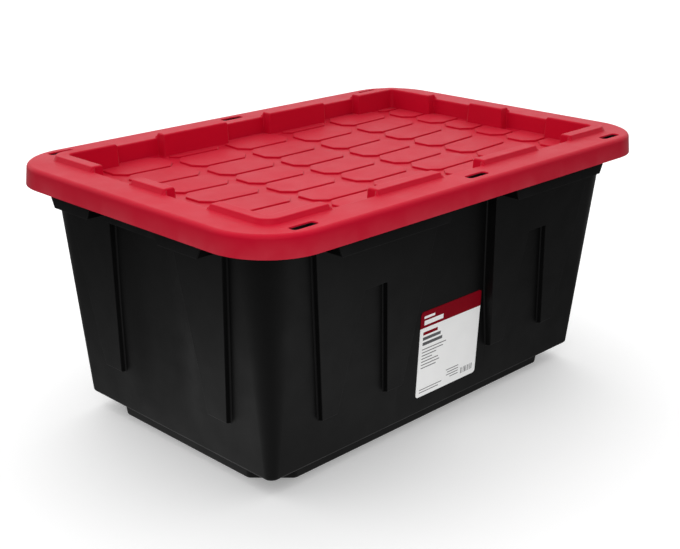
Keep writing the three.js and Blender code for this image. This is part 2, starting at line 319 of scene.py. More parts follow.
def ring(outline, keys, columns, height):
    """A closed row round a rounded outline, with one key for its long sides and one for its short ones.

    columns(key, reach) gives the places along a side whose straight part ends at reach, and
    height(along, key) gives z. In a corner both are None.
    """
    half_x, half_y, radius = outline
    reaches = (half_x - radius, half_y - radius)
    points = []
    for side in range(4):
        key = keys[side % 2]
        for place in columns(key, reaches[side % 2]):
            points.append(on_side(side, place, half_x, half_y, height(place, key)))
        corner = corner_arc(side, *reaches, radius, ARC_STEPS)
        points += [(x, y, height(None, None)) for x, y in corner]
    return points


def slab(outline, low, high, edge, steps, top_only=False):
    """Open rows of (x, y, z) for a level slab with both its rims rounded, or only the top one."""
    upper = [(high - edge + edge * math.sin(a), edge * (1 - math.cos(a))) for a in quarter(steps)]
    lower = [(low, 0.0)] if top_only else [(low + high - z, back) for z, back in reversed(upper)]
    return [[(x, y, z) for x, y in grown(outline, -back)] for z, back in lower + upper]


# ---- fillet profiles

FILLET_STEPS = 4
NO_RISE = 1e-6
FILLET_SHARE = 0.98  # the most of a low wall's rise that its two fillets may take


class Step:
    """A wall from a low to a high level, with a hollow fillet at its foot and a round one at its top.

    foot and top are the fillets' radii and slope is the width of the wall between them.
    t runs across it, from the low side to the high side, and is 0 in the middle of the wall.
    """

    def __init__(self, foot, top, slope):
        self.foot, self.top, self.half = foot, top, slope / 2.0

    def lines(self):
        """Values of t at which the profile needs a grid line."""
        arc = quarter(FILLET_STEPS)
        low = [-self.half - self.foot + self.foot * math.sin(a) for a in arc]
        return low + [self.half + self.top * (1 - math.cos(a)) for a in arc]

    def height(self, t, rise):
        """Height above the low level at t, for a wall that rises this much."""
        if rise < NO_RISE:
            return 0.0
        scale = min(1.0, FILLET_SHARE * rise / (self.foot + self.top))
        low_part, high_part = self.foot * scale, self.top * scale
        if t <= -self.half - self.foot:
            return 0.0
        if t >= self.half + self.top:
            return rise
        if t < -self.half:
            share = (t + self.half + self.foot) / self.foot
            return low_part * (1 - math.sqrt(max(0.0, 1 - share * share)))
        if t > self.half:
            share = (self.half + self.top - t) / self.top
            return rise - high_part * (1 - math.sqrt(max(0.0, 1 - share * share)))
        part = (t + self.half) / (2 * self.half)
        return low_part + (rise - high_part - low_part) * part

    def share(self, t, rise):
        """The same as a share of the rise, from 0 to 1."""
        if rise > NO_RISE:
            return self.height(t, rise) / rise
        return 1.0 if t > 0 else 0.0


def spread(start, end, gap):
    """Evenly spaced values strictly between two others, no further apart than gap."""
    count = max(1, math.ceil((end - start) / gap))
    return [start + (end - start) * k / count for k in range(1, count)]


def filled_up(marks, gap):
    """Rising values with more put between them, so that none are further apart than gap."""
    return sorted(marks + [v for a, b in zip(marks, marks[1:]) for v in spread(a, b, gap)])


def mirrored(half):
    """Values that rise from 0, after the same ones below 0."""
    return [-v for v in reversed(half[1:])] + half


# ---- lid

RIM_STEPS = 6  # rows in the fillet between the skirt and the flat of the rim
COLUMN_GAP = 22.0  # the most between two columns of a side
LONG_STRAIGHT, SHORT_STRAIGHT = 250.0, 122.0  # columns are at fixed places up to here
ROW_GAP = 0.12  # rows that would come closer together than this are left out
FLOOR_EDGE = 4.0  # width of the last strip of a recess wall, on the floor
SAG_GRID, SAG_MARGIN = 18.0, 9.0  # lattice of the points that let the recess floor bend
NOTCH_SHARE = 0.75  # share of the wall's thickness by which the gaps' wall moves in
# Profiles of the lid's walls, for its outer skin and for its inner one.
RIDGE_STEPS = Step(2.4, 2.4, 1.6), Step(0.6, 0.6, 1.6)
RECESS_STEPS = Step(3.0, 2.4, 1.6), Step(0.6, 0.6, 1.6)
GAP_STEPS = Step(2.4, 2.4, 2.0), Step(0.6, 0.6, 2.0)


def into_block(along, edges):
    """Distance from a side's nearest gap, in to a block of the ridge. In a gap it is negative."""
    place = abs(along)
    low, high = edges[-2:]
    if place >= (low + high) / 2:
        return place - high
    return min(low - place, place - edges[0]) if len(edges) == 3 else low - place


class LidSkin:
    """One skin of the lid: the outer one, or the inner one when inset is the wall's thickness."""

    def __init__(self, inset):
        self.inset = inset
        which = 0 if inset == 0.0 else 1
        self.ridge_step = RIDGE_STEPS[which]
        self.wall_step = RECESS_STEPS[which]
        self.side_step = GAP_STEPS[which]
        self.rim = RIM_Z - inset
        self.floor = FIELD_Z - inset
        self.notch_at = NOTCH_IN - NOTCH_SHARE * inset
        self.recess_at = RECESS_IN - inset

    @staticmethod
    def drawn_in(distance):
        """Outline at a distance inwards from the ridge's outer wall."""
        return (RIDGE[0] - distance, RIDGE[1] - distance, RIDGE[2] - CORNER_TIGHTENS * distance)

    def inner_rows(self):
        """Rows from the ridge's foot in to the floor: outline, height in a block, height in a gap."""
        top = self.rim + RIDGE_HEIGHT
        places = [self.inset + t for t in self.ridge_step.lines()]
        places += [self.notch_at - t for t in self.wall_step.lines()]
        places += [self.recess_at - t for t in self.wall_step.lines()]
        rows, last = [], None
        for distance in sorted(places):
            if last is not None and distance - last < ROW_GAP:
                continue
            last = distance
            block = self.rim + self.ridge_step.height(distance - self.inset, RIDGE_HEIGHT)
            if distance > (self.inset + self.recess_at) / 2:
                block = self.floor + self.wall_step.height(self.recess_at - distance, top - self.floor)
            gap = self.floor + self.wall_step.height(self.notch_at - distance, self.rim - self.floor)
            rows.append((self.drawn_in(distance), block, gap))
        rows.append((self.drawn_in(last + FLOOR_EDGE), self.floor, self.floor))
        return rows

    def columns(self, edges, reach):
        """Places along a side that get a column. All but the first and last are the same in each row."""
        half = []
        for n, edge in enumerate(edges):
            rising = 1 if (len(edges) == 3) == (n % 2 == 0) else -1
            half += [edge + rising * (self.inset + t) for t in self.side_step.lines()]
        straight = LONG_STRAIGHT if edges == LONG_GAPS else SHORT_STRAIGHT
        return [-reach] + mirrored(filled_up([0.0] + sorted(half) + [straight], COLUMN_GAP)) + [reach]

    def loop(self, outline, height):
        """One closed row round the lid."""
        return ring(outline, (LONG_GAPS, SHORT_GAPS), self.columns, height)

    def terraced(self, row):
        """A row that is at one height in the ridge's blocks and corners, and at another in its gaps."""
        outline, block, gap = row

        def height(along, edges):
            if edges is None:
                return block
            return gap + self.side_step.height(into_block(along, edges) - self.inset, block - gap)

        return self.loop(outline, height)

    def outer_rows(self):
        """Rows from the skirt's lower edge up to the flat of the rim."""
        fillet = RIM_FILLET - self.inset
        rows = [([v - self.inset for v in OUTER], SKIRT_Z)]
        for angle in quarter(RIM_STEPS):
            back = SKIRT_DRAFT + self.inset + fillet * (1 - math.cos(angle))
            z = self.rim - fillet + fillet * math.sin(angle)
            rows.append(([v - back for v in OUTER], z))
        return rows


def slot_outline(place, grow=0.0):
    """The outline of one slot, or one that lies outside it by grow."""
    outline = rounded_rect(SLOT_LENGTH / 2 + grow, SLOT_WIDTH / 2 + grow, SLOT_RADIUS + grow, 5)
    return [(x + place[0], y + place[1]) for x, y in outline]


def lattice(outline, gap, margin):
    """Points of a square lattice that lie well inside a rounded outline."""
    half_x, half_y = outline[0] - margin, outline[1] - margin
    across, up = filled_up([-half_x, half_x], gap), filled_up([-half_y, half_y], gap)
    return [(x, y) for x in across for y in up]


def lid_shell():
    """The lid without its pads: two skins, joined at the skirt's lower edge and through the slots."""
    shell = Shell()
    skins = []
    for skin in (LidSkin(0.0), LidSkin(LID_WALL)):
        outside = shell.rows([skin.loop(outline, level_at(z)) for outline, z in skin.outer_rows()])
        inside = shell.rows([skin.terraced(row) for row in skin.inner_rows()])
        soft = SLOT_FILLET if skin.inset == 0.0 else 0.0
        slots = [shell.add([(x, y, skin.rim) for x, y in slot_outline(p, soft)]) for p in SLOT_PLACES]
        shell.flat(outside[-1], [inside[0]] + slots)
        floor_edge = skin.drawn_in(RECESS_IN + 7.0)
        spots = lattice(floor_edge, SAG_GRID, SAG_MARGIN)
        extra = shell.add([(x, y, skin.floor) for x, y in spots])
        shell.flat(inside[-1], [], extra)
        skins.append((outside[0], slots))
    (outer_foot, outer_slots), (inner_foot, inner_slots) = skins
    shell.strip(outer_foot, inner_foot)
    for place, upper, lower in zip(SLOT_PLACES, outer_slots, inner_slots):
        last = upper
        for angle in quarter(3)[1:]:
            ring = slot_outline(place, SLOT_FILLET * (1.0 - math.sin(angle)))
            row = shell.add([(x, y, RIM_Z - SLOT_FILLET * (1.0 - math.cos(angle))) for x, y in ring])
            shell.strip(last, row)
            last = row
        shell.strip(last, lower)
    return shell


def pad_shells():
    """All the pads of the recess, as closed slabs whose feet are in the middle of the floor's wall."""
    shell = Shell()
    whole = octagon(PAD_LENGTH / 2, PAD_WIDTH / 2, PAD_CHAMFER)
    for column in PAD_COLUMNS:
        shift = 0.0 if column % 2 == 0 else PAD_PITCH[1] / 2
        for row in PAD_ROWS:
            centre = (column * PAD_PITCH[0], row * PAD_PITCH[1] + shift)
            corners = clipped([(x + centre[0], y + centre[1]) for x, y in whole], centre)
            if corners:
                outline = softened(corners, PAD_CORNER, 2)
                foot = [(x, y, FIELD_Z - LID_WALL / 2) for x, y in grown(outline, PAD_FLARE)]
                body = slab(grown(outline, -PAD_DRAW), FIELD_Z, FIELD_Z + PAD_HEIGHT, PAD_EDGE, 3, True)
                shell.capped([foot] + body)
    return shell


def clipped(corners, centre):
    """A pad's corners cut off where it meets the recess wall, or None when too little is left."""
    limit_x = (NOTCH if into_block(centre[1], SHORT_GAPS) < 0 else RECESS)[0] + PAD_REACH
    limit_y = (NOTCH if into_block(centre[0], LONG_GAPS) < 0 else RECESS)[1] + PAD_REACH
    for axis, limit in ((0, limit_x), (1, limit_y)):
        for sign in (1, -1):
            corners = cut_line(corners, axis, sign, limit)
            if len(corners) < 3:
                return None
    xs, ys = [c[0] for c in corners], [c[1] for c in corners]
    if min(max(xs) - min(xs), max(ys) - min(ys)) < PAD_SCRAP:
        return None
    return corners


def cut_line(corners, axis, sign, limit):
    """Clips a polygon to sign * coordinate <= limit."""
    kept = []
    for a, b in zip(corners, corners[1:] + corners[:1]):
        da, db = sign * a[axis] - limit, sign * b[axis] - limit
        if da <= 0:
            kept.append(a)
        if (da < 0 < db) or (db < 0 < da):
            share = da / (da - db)
            kept.append((a[0] + (b[0] - a[0]) * share, a[1] + (b[1] - a[1]) * share))
    return kept


def sagged(made):
    """Lets the recess floor of the lid hang down in the middle."""
    over_pads = FIELD_Z + PAD_HEIGHT + 0.5
    for vertex in made.data.vertices:
        x, y, z = vertex.co / MM
        if z < over_pads:
            share = max(0.0, 1 - (x / SAG_HALF[0]) ** 2) * max(0.0, 1 - (y / SAG_HALF[1]) ** 2)
            if abs(x) < NOTCH[0] and abs(y) < NOTCH[1]:
                vertex.co.z -= SAG * share * MM


def united(made, other):
    """Joins another closed mesh into made and removes the other."""
    modifier = made.modifiers.new("join", "BOOLEAN")
    modifier.operation = "UNION"
    modifier.solver = "MANIFOLD"
    modifier.object = other
    depsgraph = bpy.context.evaluated_depsgraph_get()
    made.data = bpy.data.meshes.new_from_object(made.evaluated_get(depsgraph))
    made.modifiers.clear()
    bpy.data.objects.remove(other)


def smooth_faces(made):
    """Smooth shading with sharp edges above an angle, and flat faces kept flat."""
    mesh = made.data
    mesh.polygons.foreach_set("use_smooth", [True] * len(mesh.polygons))
    mesh.set_sharp_from_angle(angle=SHARP_ANGLE)
    weighted = made.modifiers.new("even_shading", "WEIGHTED_NORMAL")
    weighted.mode = "FACE_AREA"
    weighted.keep_sharp = True
    weighted.weight = 50


# ---- tub

# Profiles of the tub's ribs, for its outer skin and for its inner one. The ledge is a rib's lower end.
RIB_STEPS = Step(2.2, 0.8, 0.5), Step(2.0, 1.6, 0.6)
POCKET_STEPS = Step(2.0, 0.8, 0.5), Step(2.0, 1.6, 0.6)
LEDGE_STEPS = Step(3.0, 1.6, 1.0), Step(2.0, 1.6, 1.0)
TUB_ARC_STEPS = 10
CELLS = {"y": (8, 2, 5, 2, 6), "x": (8, 3, 3)}  # columns between rib edges, from the middle outwards
WALL_GAP = 15.0  # the most between two rows of a wall
WALL_FOOT = 4.0  # fillet between the wall and the shelf under it
EDGE_HOLD = 8.0  # how far past a rib's end its edges still lean
MOUTH = 1.2  # rounding of the tub's mouth
LIP_ROLL = 2.6  # how far the lip's inner side curves in under the flange
LIP_GAP = 30.0  # the most between two columns of the lip
TAB_SIDE = 0.02  # width of the upright part of a tab's end
BEVEL_START = 0.4  # share of a tab's drop that its end has at once, before the bevel
PLATE_EDGE = 0.7  # rounding of the webs and bars


def wall_at(key, z):
    """Half length (x), half width (y) or corner radius of the wall's outside at a height."""
    part = (z - WALL_LOW["z"]) / (WALL_HIGH["z"] - WALL_LOW["z"])
    return WALL_LOW[key] + (WALL_HIGH[key] - WALL_LOW[key]) * part


def edge_at(edge, z):
    """Place of a rib's edge at a height. Beyond the rib it stays put, so that the columns stay apart."""
    if edge in (POCKET_INNER, POCKET_OUTER):
        z = min(z, POCKET_TOP + EDGE_HOLD)
    return edge[0] + edge[1] * (max(z, RIB_BOTTOM - EDGE_HOLD) - RIB_BOTTOM)


def panel_depth(z):
    """How far the middle panel lies behind the corners' wall, which grows evenly with height."""
    part = max(0.0, min(1.0, (z - PANEL_LOW) / (PANEL_HIGH - PANEL_LOW)))
    return PANEL_DEPTH * part


class TubSkin:
    """One skin of the tub: the outer one, or the inner one when inset is the wall's thickness."""

    def __init__(self, inset):
        self.inset = inset
        which = 0 if inset == 0.0 else 1
        self.rib, self.pocket, self.ledge = RIB_STEPS[which], POCKET_STEPS[which], LEDGE_STEPS[which]

    def edges(self, key):
        """Rib edges of a side, from its middle outwards: (edge, step, side the rib is on)."""
        if key == "y":
            return [
                (LONG_INNER, self.rib, 1), (POCKET_INNER, self.pocket, -1),
                (POCKET_OUTER, self.pocket, 1), (LONG_OUTER, self.rib, -1),
            ]
        return [(SHORT_INNER, self.rib, 1), (SHORT_OUTER, self.rib, -1)]

    def columns(self, key, z):
        """Places across a side at one height, from the middle to the corner."""
        other = "x" if key == "y" else "y"
        end = wall_at(other, z) - wall_at("radius", z)
        lines = []
        for edge, step, sign in self.edges(key):
            lines.append(sorted(edge_at(edge, z) + sign * (self.inset + t) for t in step.lines()))
        places, last = [], 0.0
        for line, count in zip(lines + [[end]], CELLS[key]):
            places += [last + (line[0] - last) * k / count for k in range(1, count)] + line
            last = line[-1]
        return places

    def mask(self, key, along, z, rise):
        """How much of the rib's height there is at a place, from 0 to 1."""
        share = self.ledge.share(z - RIB_BOTTOM - self.inset, rise)
        parts = self.edges(key)
        for edge, step, sign in (parts[0], parts[-1]):
            share *= step.share(sign * (along - edge_at(edge, z)) - self.inset, rise)
        if key == "y" and share > 0.0:
            hole = 1 - self.pocket.share(z - POCKET_TOP - self.inset, rise)
            for edge, step, sign in parts[1:3]:
                hole *= 1 - step.share(sign * (along - edge_at(edge, z)) - self.inset, rise)
            share *= 1 - hole
        return share

    def out(self, key, along, z, back):
        """Distance of the skin from the middle plane."""
        wall = wall_at(key, z)
        near, far = PANEL_FADE[key]
        fade = max(0.0, min(1.0, (far - abs(along)) / (far - near)))
        sunk = panel_depth(z) * fade * fade * (3 - 2 * fade)
        rise = RIB_PROUD + sunk
        return wall - sunk + rise * self.mask(key, abs(along), z, rise) - self.inset - back

    def heights(self):
        """Heights of the rows above the wall's lower fillet."""
        marks = [RIB_BOTTOM + self.inset + t for t in self.ledge.lines()]
        marks += [POCKET_TOP + self.inset + t for t in self.pocket.lines()]
        start = WALL_LOW["z"] + self.inset + WALL_FOOT
        top = FLANGE_TOP - (FLANGE_THICK if self.inset == 0.0 else MOUTH)
        return filled_up(sorted([start] + marks + [top]), WALL_GAP)

    def row(self, z, back=0.0):
        """A closed row round the tub at one height, drawn in by back."""
        points = []
        radius = wall_at("radius", z) - self.inset - back
        reach_x = wall_at("x", z) - wall_at("radius", z)
        reach_y = wall_at("y", z) - wall_at("radius", z)
        for side, key in enumerate("yxyx"):
            for place in mirrored([0.0] + self.columns(key, z)):
                out = self.out(key, place, z, back)
                points.append(on_side(side, place, out, out, z))
            corner = corner_arc(side, reach_x, reach_y, radius, TUB_ARC_STEPS)
            points += [(x, y, z) for x, y in corner]
        return points

    def rows(self):
        """Rows from the shelf under the wall, up its lower fillet and the wall itself."""
        low = WALL_LOW["z"] + self.inset
        rows = []
        for angle in quarter(5)[:-1]:
            up, back = WALL_FOOT * (1 - math.cos(angle)), WALL_FOOT * (1 - math.sin(angle))
            rows.append(self.row(low + up, back))
        return rows + [self.row(z) for z in self.heights()]


def foot_rows(inset):
    """Rows of the foot from the shelf down to the flat base."""
    edge = FOOT["edge"]
    places = [(WALL_LOW["z"] + inset, FOOT["draft"] - inset)]
    for angle in quarter(4):
        places.append((inset + edge * (1 - math.sin(angle)), -inset - edge * (1 - math.cos(angle))))
    rows = []
    for z, grow in places:
        corners = octagon(FOOT["x"] + grow, FOOT["y"] + grow, FOOT["chamfer"])
        rows.append([(x, y, z) for x, y in softened(corners, FOOT["corner"], 4)])
    return rows


def tab_drop(along, tab):
    """Height of the lip's lower edge at a place along a side."""
    start, end = tab
    inside = min(abs(along) - start, end - abs(along))
    if inside <= 0:
        return LIP_BOTTOM
    if inside < TAB_BEVEL:
        share = BEVEL_START + (1.0 - BEVEL_START) * inside / TAB_BEVEL
        return LIP_BOTTOM - (LIP_BOTTOM - TAB_BOTTOM) * share
    return TAB_BOTTOM


def lip_columns(tab, reach):
    """Places along a side of the lip that get a column, from one corner to the other."""
    start, end = tab
    half_bevel = TAB_BEVEL * 0.5
    marks = [0.0, start, start + TAB_SIDE, start + half_bevel, start + TAB_BEVEL]
    marks += [end - TAB_BEVEL, end - half_bevel, end - TAB_SIDE, end, reach]
    return mirrored(filled_up(marks, LIP_GAP))


def lip_loop(back, height):
    """A closed row round the lip, drawn in by back."""
    return ring([v - back for v in LIP], (LONG_TAB, SHORT_TAB), lip_columns, height)


def lip_lower(rise):
    """Heights of a row that runs this far above the lip's lower edge."""
    return lambda along, tab: (LIP_BOTTOM if tab is None else tab_drop(along, tab)) + rise


def lip_rows(under):
    """Rows of the lip from under the flange, down its inside, up its outside and on to its top."""
    return [
        lip_loop(TUB_WALL + LIP_ROLL, level_at(under)),
        lip_loop(TUB_WALL, level_at(under - 4.0)),
        lip_loop(TUB_WALL, lip_lower(0.5)),
        lip_loop(TUB_WALL - 0.6, lip_lower(0.0)),
        lip_loop(0.6, lip_lower(0.0)),
        lip_loop(0.1, lip_lower(0.6)),
        lip_loop(0.1, level_at(LIP_BOTTOM + 6.0)),
        lip_loop(1.0, level_at(FLANGE_TOP - LIP_BEVEL)),
        lip_loop(2.4, level_at(FLANGE_TOP - 1.6)),
        lip_loop(4.9, level_at(FLANGE_TOP)),
    ]


def tub_shell():
    """The tub without its webs and bars: two skins, the foot, and the flange with its lip and slots."""
    shell = Shell()
    under = FLANGE_TOP - FLANGE_THICK
    outer_rings = shell.rows(TubSkin(0.0).rows())
    inner_rows = TubSkin(TUB_WALL).rows()
    inner_rows += [
        rounded_out(inner_rows[-1], 0.35, FLANGE_TOP - 0.35),
        rounded_out(inner_rows[-1], MOUTH, FLANGE_TOP),
    ]
    inner_rings = shell.rows(inner_rows)
    outer_foot = shell.rows(foot_rows(0.0))
    inner_foot = shell.rows(foot_rows(TUB_WALL))
    shell.flat(outer_rings[0], [outer_foot[0]])
    shell.flat(outer_foot[-1])
    shell.flat(inner_rings[0], [inner_foot[0]])
    shell.flat(inner_foot[-1])
    lip = shell.rows(lip_rows(under))
    upper = [shell.add([(x, y, FLANGE_TOP) for x, y in slot_outline(p)]) for p in SLOT_PLACES]
    lower = [shell.add([(x, y, under) for x, y in slot_outline(p)]) for p in SLOT_PLACES]
    for one, two in zip(upper, lower):
        shell.strip(one, two)
    shell.flat(lip[-1], [inner_rings[-1]] + upper)
    shell.flat(lip[0], [outer_rings[-1]] + lower)
    return shell


def rounded_out(row, out, z):
    """A row moved outwards along its own normals, to round the tub's mouth."""
    flat_row = grown([(x, y) for x, y, _ in row], out)
    return [(x, y, z) for x, y in flat_row]


def web_spans(tab):
    """Where the two webs of a tab stand along its side."""
    starts = (tab[0] + TAB_BEVEL, tab[1] - TAB_BEVEL - TUB_WALL)
    return [(start, start + TUB_WALL) for start in starts]


def rim_extras():
    """The webs behind the grip tabs' ends and the bars of the end handles."""
    shell = Shell()
    across_x = (WALL_HIGH["x"] - 2.0, LIP[0] - 1.0)  # from inside the wall to inside the lip
    across_y = (WALL_HIGH["y"] - 2.0, LIP[1] - 1.0)
    for sx in (1, -1):
        for sy in (1, -1):
            webs = [(span, across_y) for span in web_spans(LONG_TAB)]
            webs += [(across_x, span) for span in web_spans(SHORT_TAB)]
            for x_span, y_span in webs:
                plate(shell, mirrored_box(x_span, y_span, sx, sy), TAB_BOTTOM)
        bar = mirrored_box((BAR_FACE - TUB_WALL, BAR_FACE), (-BAR_HALF, BAR_HALF), sx, 1)
        plate(shell, bar, BAR_BOTTOM)
    return shell


def plate(shell, outline, bottom):
    """An upright plate that ends inside the flange."""
    shell.capped(slab(outline, bottom, FLANGE_TOP - FLANGE_THICK / 2, PLATE_EDGE, 2))


def mirrored_box(x_span, y_span, sx, sy):
    """Counter-clockwise corners of a box, mirrored into another quarter."""
    xs = sorted(sx * x for x in x_span)
    ys = sorted(sy * y for y in y_span)
    return box_loop((xs[0], ys[0], xs[1], ys[1]))


# ---- label

HEADER_HEIGHT = 24.0
LABEL_RADIUS, LABEL_ARC_STEPS = 5.0, 6
LABEL_BACK, LABEL_EDGE, LABEL_FACE = 0.05, 0.5, 0.65  # distances from the panel
LABEL_BEVEL = 0.3
FILM, RED, INK = 0, 1, 2  # marks of the faces, in the order of the label's materials


def label_shell():
    """A thin sheet on the front panel, with its printed areas as marked faces."""
    shell = Shell()
    centre = (LABEL_LOW.x + LABEL_HIGH.x) / 2
    half_x = (LABEL_HIGH.x - LABEL_LOW.x) / 2
    half_z = (LABEL_HIGH.z - LABEL_LOW.z) / 2
    middle = (LABEL_HIGH.z + LABEL_LOW.z) / 2

    def place(point, lift):
        x, z = point[0] + centre, point[1] + middle
        return (x, -(wall_at("y", z) - panel_depth(z) + lift), z)

    header_z = half_z - HEADER_HEIGHT
    outline = rounded_rect(half_x, half_z, LABEL_RADIUS, LABEL_ARC_STEPS)
    left_end = 2 * (LABEL_ARC_STEPS + 1)
    outline.insert(left_end, (-half_x, header_z))
    outline.append((half_x, header_z))
    inner = grown(outline, -LABEL_BEVEL)
    back = shell.add([place(p, LABEL_BACK) for p in outline])
    edge = shell.add([place(p, LABEL_EDGE) for p in outline])
    front = shell.add([place(p, LABEL_FACE) for p in inner])
    for i in range(len(outline)):
        j = (i + 1) % len(outline)
        mark = RED if min(outline[i][1], outline[j][1]) >= header_z else FILM
        for one, two in ((back, edge), (edge, front)):
            shell.face((one[i], one[j], two[j], two[i]), mark)
    areas = printed_areas(half_x, half_z)
    loops = [inner] + [box_loop(area[0]) for area in areas]
    places, triangles, _ = fill(loops, (), [(left_end, len(inner) - 1)])
    face = shell.add([place(p, LABEL_FACE) for p in places])
    for triangle, middle in triangles:
        if not inside_outline(middle, inner):
            continue
        x, z = middle
        marks = [mark for (x0, z0, x1, z1), mark in areas if x0 < x < x1 and z0 < z < z1]
        marks.append(RED if z > header_z else FILM)
        shell.face([face[i] for i in triangle], marks[0])
    shell.face(back)
    return shell


def box_loop(area):
    x0, z0, x1, z1 = area
    return [(x0, z0), (x1, z0), (x1, z1), (x0, z1)]


def printed_areas(half_x, half_z):
    """Plain bars in place of the print: (box, mark), each box as x and z of two corners."""
    top, bottom = half_z - HEADER_HEIGHT, -half_z
    left, right = -half_x + 6.5, half_x - 7.0
    areas = []
    for x, first, pitch, thick, lengths, mark in (
        (left, top + 17.0, 0.0, 3.5, (22.0,), FILM),
        (left + 1.0, top + 10.5, 0.0, 6.5, (39.0,), FILM),
        (left, top - 6.0, 0.0, 4.6, (30.0,), RED),
        (left, top - 13.6, 7.6, 4.6, (37.0, 41.0), INK),
        (left, top - 31.0, 4.6, 1.3, (50.0, 44.0, 30.0, 22.0, 35.0, 38.0, 31.0), INK),
        (left, bottom + 11.0, 4.0, 1.2, (47.0, 40.0), INK),
    ):
        for row, length in enumerate(lengths):
            z = first - row * pitch
            areas.append(((x, z - thick, x + length, z), mark))
    for row, length in enumerate((27.0, 24.0, 26.0, 18.0)):
        z = bottom + 24.0 - row * 4.0
        areas.append(((right - 32.0 - length, z - 1.2, right - 32.0, z), INK))
    for k, width in enumerate((1.6, 0.8, 1.2, 2.0, 0.8, 1.6, 0.8, 1.2, 1.6)):
        x = right - 26.0 + k * 2.9
        areas.append(((x, bottom + 8.0, x + width, bottom + 17.0), INK))
    return areas


# ---- materials

NOISE_MIDDLE = (0.3, 0.7)  # the range that most of a noise texture's values lie in
SHARP_POINTINESS = (0.53, 0.62)
SHEEN_ROUGHNESS = 0.35
FILM_GLOSS = 0.04
WHITE = (1.0, 1.0, 1.0)


class Tree:
    """The shader nodes of a new material or world."""

    def __init__(self, owner, shader_type="BSDF_PRINCIPLED"):
        owner.use_nodes = True
        self.nodes, self.links = owner.node_tree.nodes, owner.node_tree.links
        self.shader = next(n for n in self.nodes if n.type == shader_type)
        self.coords = self.nodes.new("ShaderNodeTexCoord").outputs

    def feed(self, socket, value):
        """Gives a socket a number, three numbers of a colour, or a link from another socket."""
        if isinstance(value, float):
            socket.default_value = value
        elif isinstance(value, tuple):
            socket.default_value = value + (1.0,)
        else:
            self.links.new(value, socket)

    def surface(self, **inputs):
        """Feeds the shader's inputs, whose names are written with _ for a space."""
        for name, value in inputs.items():
            self.feed(self.shader.inputs[name.replace("_", " ")], value)

    def noise(self, scale, detail):
        """A noise texture fixed to the object."""
        made = self.nodes.new("ShaderNodeTexNoise")
        self.feed(made.inputs["Scale"], scale)
        self.feed(made.inputs["Detail"], detail)
        self.feed(made.inputs["Vector"], self.coords["Object"])
        return made.outputs["Fac"]

    def mapped(self, value, low, high, span=NOISE_MIDDLE):
        """A value brought evenly from the span to low and high, and held there beyond it."""
        made = self.nodes.new("ShaderNodeMapRange")
        self.feed(made.inputs["Value"], value)
        for name, number in zip(("From Min", "From Max", "To Min", "To Max"), (*span, low, high)):
            self.feed(made.inputs[name], number)
        return made.outputs["Result"]

    def mixed(self, factor, one, two):
        """Two colours mixed."""
        made = self.nodes.new("ShaderNodeMix")
        made.data_type = "RGBA"
        self.feed(made.inputs["Factor"], factor)
        for name, colour in (("A", one), ("B", two)):
            self.feed(next(i for i in made.inputs if i.name == name and i.type == "RGBA"), colour)
        return next(o for o in made.outputs if o.type == "RGBA")

    def maths(self, operation, *values):
        """The result of a maths operation."""
        made = self.nodes.new("ShaderNodeMath")
        made.operation = operation
        for socket, value in zip(made.inputs, values):
            self.feed(socket, value)
        return made.outputs[0]

    def measured(self, operation, source, fixed):
        """The distance or dot product of a socket's vector and a fixed one."""
        made = self.nodes.new("ShaderNodeVectorMath")
        made.operation = operation
        self.feed(made.inputs[0], source)
        made.inputs[1].default_value = fixed
        return made.outputs["Value"]

    def camera_only(self, seen, other):
        """A value that is one thing to the camera and another to light on its way round the scene."""
        path = self.nodes.new("ShaderNodeLightPath")
        return self.mapped(path.outputs["Is Camera Ray"], other, seen, (0.0, 1.0))

    def worn_edges(self):
        """1 on sharp outward edges and 0 elsewhere."""
        geometry = self.nodes.new("ShaderNodeNewGeometry")
        return self.mapped(geometry.outputs["Pointiness"], 0.0, 1.0, SHARP_POINTINESS)

    def bumps(self, *parts):
        """The normal of added up bumps: parts are (height socket, strength, distance)."""
        last = None
        for height, strength, distance in parts:
            made = self.nodes.new("ShaderNodeBump")
            self.feed(made.inputs["Height"], height)
            self.feed(made.inputs["Strength"], strength)
            self.feed(made.inputs["Distance"], distance)
            if last is not None:
                self.links.new(last, made.inputs["Normal"])
            last = made.outputs["Normal"]
        return last


def moulded_plastic(name, base, pale, dark, rough, grain, worn, gloss, bloom):
    """Satin moulded plastic: fine grain, faint cloudiness, uneven gloss and scuffed edges.

    base and dark colour its clouds and pale its scuffs. grain is the strength of the fine bumps, worn
    the most that an edge is scuffed, and bloom the weight of the sheen.
    """
    material = bpy.data.materials.new(name)
    tree = Tree(material)
    cloud, fine, smear = tree.noise(6.0, 3.0), tree.noise(900.0, 2.0), tree.noise(28.0, 5.0)
    colour = tree.mixed(tree.mapped(cloud, 0.0, 1.0), dark, base)
    scuff = tree.maths("MULTIPLY", tree.worn_edges(), tree.mapped(smear, 0.2, worn))
    tree.surface(
        Base_Color=tree.mixed(scuff, colour, pale),
        Roughness=tree.mapped(smear, rough - 0.05, rough + 0.06),
        Specular_IOR_Level=gloss, Sheen_Weight=bloom, Sheen_Roughness=SHEEN_ROUGHNESS,
        Normal=tree.bumps((fine, grain, 0.0002), (cloud, 0.25, 0.0012)),
    )
    return material


def printed(name, base, tint, rough):
    """Printed film with a slightly uneven coat."""
    material = bpy.data.materials.new(name)
    tree = Tree(material)
    fibre, sheen = tree.noise(260.0, 3.0), tree.noise(30.0, 2.0)
    tree.surface(
        Base_Color=tree.mixed(tree.mapped(sheen, 0.0, 1.0), base, tint),
        Roughness=tree.mapped(sheen, rough - 0.06, rough + 0.06),
        Specular_IOR_Level=FILM_GLOSS,
        Normal=tree.bumps((fibre, 0.12, 0.0001), (sheen, 0.3, 0.0006)),
    )
    return material


